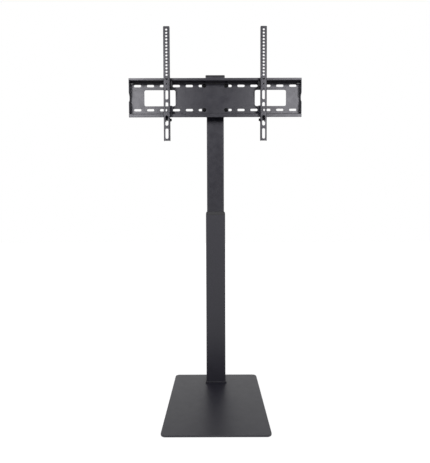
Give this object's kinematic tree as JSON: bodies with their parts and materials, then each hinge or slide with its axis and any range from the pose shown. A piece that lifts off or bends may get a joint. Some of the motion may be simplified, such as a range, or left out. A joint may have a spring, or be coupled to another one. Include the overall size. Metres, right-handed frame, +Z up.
{
  "type": "tv stand with mount",
  "caption": "Free-standing floor stand: flat base plate, telescoping column and a slotted rail with tilting slotted arms that hold a flat screen.",
  "frame": {"origin": "centre of the base on the floor", "axes": "+X to the right seen from the front, +Y back from the screen side towards the column, +Z up"},
  "size_m": [0.66, 0.457, 1.3802],
  "materials": {
    "powder_coat": "fine-texture black powder coat on steel",
    "black_oxide": "black oxide on steel",
    "zinc_steel": "bright zinc plate",
    "black_plastic": "moulded, fine grain",
    "dark_nylon": "moulded nylon, smooth",
    "rubber": "matt rubber"
  },
  "bodies": {
    "stand": {"base_plate": "powder_coat", "foot_pad_front_left": "rubber", "foot_pad_front_right": "rubber", "foot_pad_rear_left": "rubber", "foot_pad_rear_right": "rubber", "column_foot_plate": "powder_coat", "base_screw_1": "zinc_steel", "base_screw_2": "zinc_steel", "base_screw_3": "zinc_steel", "base_screw_4": "zinc_steel", "lower_column": "powder_coat", "glide_collar": "black_plastic", "height_lock_nut": "powder_coat"},
    "height_lock_pad": {"height_lock_pad": "dark_nylon"},
    "height_lock_knob": {"height_lock_knob": "black_plastic", "height_lock_stud": "zinc_steel"},
    "mast": {"upper_column": "powder_coat", "upper_column_shoe": "black_plastic", "column_top_cap": "black_plastic", "head_bracket": "powder_coat", "head_cross_bolt_1": "black_oxide", "head_cross_bolt_2": "black_oxide", "head_cross_nut_1": "black_oxide", "head_cross_nut_2": "black_oxide", "mount_rail": "powder_coat", "rail_bolt_1": "black_oxide", "rail_bolt_2": "black_oxide", "rail_bolt_3": "black_oxide", "rail_bolt_4": "black_oxide", "rail_washer_1": "black_oxide", "rail_washer_2": "black_oxide", "rail_washer_3": "black_oxide", "rail_washer_4": "black_oxide"},
    "left_bracket": {"left_hook_bracket": "powder_coat", "left_pivot_bolt": "black_oxide", "left_tilt_washer": "dark_nylon"},
    "left_arm": {"left_vesa_arm": "powder_coat"},
    "left_tilt_knob": {"left_tilt_knob": "black_plastic"},
    "left_latch": {"left_safety_latch": "black_oxide", "left_latch_shaft": "black_oxide", "left_latch_clip": "black_oxide"},
    "right_bracket": {"right_hook_bracket": "powder_coat", "right_pivot_bolt": "black_oxide", "right_tilt_washer": "dark_nylon"},
    "right_arm": {"right_vesa_arm": "powder_coat"},
    "right_tilt_knob": {"right_tilt_knob": "black_plastic"},
    "right_latch": {"right_safety_latch": "black_oxide", "right_latch_shaft": "black_oxide", "right_latch_clip": "black_oxide"}
  },
  "joints": [
    {"name": "height_slide", "type": "slide", "parent": "stand", "child": "mast", "axis": [0, 0, 1], "range_m": [-0.3, 0.1]},
    {"name": "height_lock_press", "type": "slide", "parent": "stand", "child": "height_lock_pad", "axis": [0, 1, 0], "range_m": [0, 0.0025]},
    {"name": "height_lock_turn", "type": "hinge", "parent": "height_lock_pad", "child": "height_lock_knob", "pos_m": [0, 0.2158, 0.612], "axis": [0, 1, 0], "range_deg": [0, 720]},
    {"name": "left_bracket_slide", "type": "slide", "parent": "mast", "child": "left_bracket", "axis": [-1, 0, 0], "range_m": [-0.0815, 0.1185]},
    {"name": "left_tilt", "type": "hinge", "parent": "left_bracket", "child": "left_arm", "pos_m": [-0.1815, 0.107, 1.169], "axis": [1, 0, 0], "range_deg": [0, 8]},
    {"name": "left_tilt_knob_turn", "type": "hinge", "parent": "left_bracket", "child": "left_tilt_knob", "pos_m": [-0.1639, 0.107, 1.169], "axis": [1, 0, 0], "range_deg": [0, 360]},
    {"name": "left_latch_turn", "type": "hinge", "parent": "left_bracket", "child": "left_latch", "pos_m": [-0.1815, 0.1213, 1.045], "axis": [-1, 0, 0], "range_deg": [0, 90]},
    {"name": "right_bracket_slide", "type": "slide", "parent": "mast", "child": "right_bracket", "axis": [1, 0, 0], "range_m": [-0.0815, 0.1185]},
    {"name": "right_tilt", "type": "hinge", "parent": "right_bracket", "child": "right_arm", "pos_m": [0.1815, 0.107, 1.169], "axis": [1, 0, 0], "range_deg": [0, 8]},
    {"name": "right_tilt_knob_turn", "type": "hinge", "parent": "right_bracket", "child": "right_tilt_knob", "pos_m": [0.1639, 0.107, 1.169], "axis": [-1, 0, 0], "range_deg": [0, 360]},
    {"name": "right_latch_turn", "type": "hinge", "parent": "right_bracket", "child": "right_latch", "pos_m": [0.1815, 0.1213, 1.045], "axis": [-1, 0, 0], "range_deg": [0, 90]}
  ],
  "couplings": [
    {"joint": "height_lock_turn", "follows": "height_lock_press", "rad_per_m": 5026.5}
  ]
}
